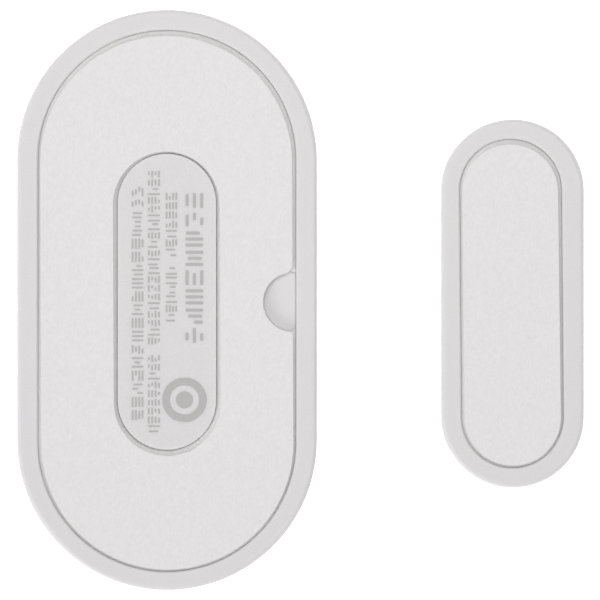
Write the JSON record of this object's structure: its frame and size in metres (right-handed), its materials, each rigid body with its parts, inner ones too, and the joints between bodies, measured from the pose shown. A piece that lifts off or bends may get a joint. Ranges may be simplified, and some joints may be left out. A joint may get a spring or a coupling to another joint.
{
  "type": "door contact sensor",
  "caption": "Two-piece wireless door contact sensor lying face down: a stadium-shaped sensor unit with an adhesive back and label island, and a slim magnet unit.",
  "frame": {"origin": "centre of the sensor unit's flat front face, on the plane that both units lie on, face down", "axes": "+Z out of the adhesive backs, away from the front faces; +Y along the length of both units; +X from the sensor unit towards the magnet unit"},
  "size_m": [0.0401, 0.041, 0.011],
  "materials": {
    "shell_plastic": "fine moulded satin",
    "cover_plastic": "fine moulded satin",
    "foam": "soft closed-cell foam",
    "liner": "coated paper, fine fibre grain",
    "board": "solder mask over copper",
    "holder_plastic": "moulded, slightly glossy",
    "contact_metal": "thin gold plate on spring bronze",
    "cell_can": "nickel plate, turned grain",
    "cell_cap": "nickel plate",
    "cell_gasket": "moulded nylon",
    "reed_glass": "clear green-tinted glass",
    "reed_metal": "tinned nickel iron",
    "switch_plastic": "moulded nylon",
    "switch_metal": "stamped stainless steel",
    "plunger_plastic": "moulded nylon",
    "chip_plastic": "matt epoxy",
    "crystal_metal": "plated lid on ceramic",
    "led_lens": "clear epoxy",
    "capacitor_ceramic": "fired ceramic",
    "resistor_ceramic": "glazed ceramic",
    "gold_plate": "immersion gold",
    "solder": "reflowed solder",
    "magnet_metal": "nickel plated, satin"
  },
  "bodies": {
    "sensor_body": {"sensor_front_shell": "shell_plastic", "circuit_board": "board", "battery_holder": "holder_plastic", "battery_positive_contact": "contact_metal", "battery_negative_contact": "contact_metal", "reed_glass_tube": "reed_glass", "reed_fixed_blade": "reed_metal", "reed_lead_wire": "reed_metal", "tact_switch_base": "switch_plastic", "tact_switch_cover": "switch_metal", "tact_switch_dome": "switch_metal", "radio_chip": "chip_plastic", "crystal_can": "crystal_metal", "status_led": "led_lens", "chip_capacitors": "capacitor_ceramic", "chip_resistors": "resistor_ceramic", "antenna_trace": "gold_plate", "test_pads": "gold_plate", "solder_joints": "solder"},
    "rear_cover": {"sensor_rear_cover": "cover_plastic", "sensor_foam_tape": "foam"},
    "sensor_liner": {"sensor_tape_liner": "liner"},
    "coin_cell": {"coin_cell_can": "cell_can", "coin_cell_cap": "cell_cap", "coin_cell_gasket": "cell_gasket"},
    "reset_button": {"tact_switch_plunger": "plunger_plastic"},
    "reed_blade": {"reed_moving_blade": "reed_metal"},
    "magnet_unit": {"magnet_shell": "shell_plastic", "magnet_rear_cover": "cover_plastic", "bar_magnet": "magnet_metal", "magnet_foam_tape": "foam"},
    "magnet_liner": {"magnet_tape_liner": "liner"}
  },
  "joints": [
    {"name": "door_gap", "type": "slide", "parent": "sensor_body", "child": "magnet_unit", "axis": [1, 0, 0], "range_m": [-0.0077, 0.04]},
    {"name": "rear_cover_lift", "type": "slide", "parent": "sensor_body", "child": "rear_cover", "axis": [0, 0, 1], "range_m": [0, 0.024]},
    {"name": "cell_lift", "type": "slide", "parent": "sensor_body", "child": "coin_cell", "axis": [0, 0, 1], "range_m": [0, 0.012]},
    {"name": "sensor_liner_peel", "type": "slide", "parent": "rear_cover", "child": "sensor_liner", "axis": [0, 0, 1], "range_m": [0, 0.008]},
    {"name": "magnet_liner_peel", "type": "slide", "parent": "magnet_unit", "child": "magnet_liner", "axis": [0, 0, 1], "range_m": [0, 0.008]},
    {"name": "reset_press", "type": "slide", "parent": "sensor_body", "child": "reset_button", "axis": [1, 0, 0], "range_m": [0, 0.00025], "stiffness_N_per_m": 1500},
    {"name": "reed_flex", "type": "hinge", "parent": "sensor_body", "child": "reed_blade", "pos_m": [0.006, 0.0113, 0.00677], "axis": [-1, 0, 0], "range_deg": [-0.25, 1.3]}
  ],
  "couplings": [
    {"joint": "cell_lift", "follows": "rear_cover_lift", "ratio": 0.5},
    {"joint": "reed_flex", "follows": "door_gap", "rad_per_m": 0.55}
  ]
}
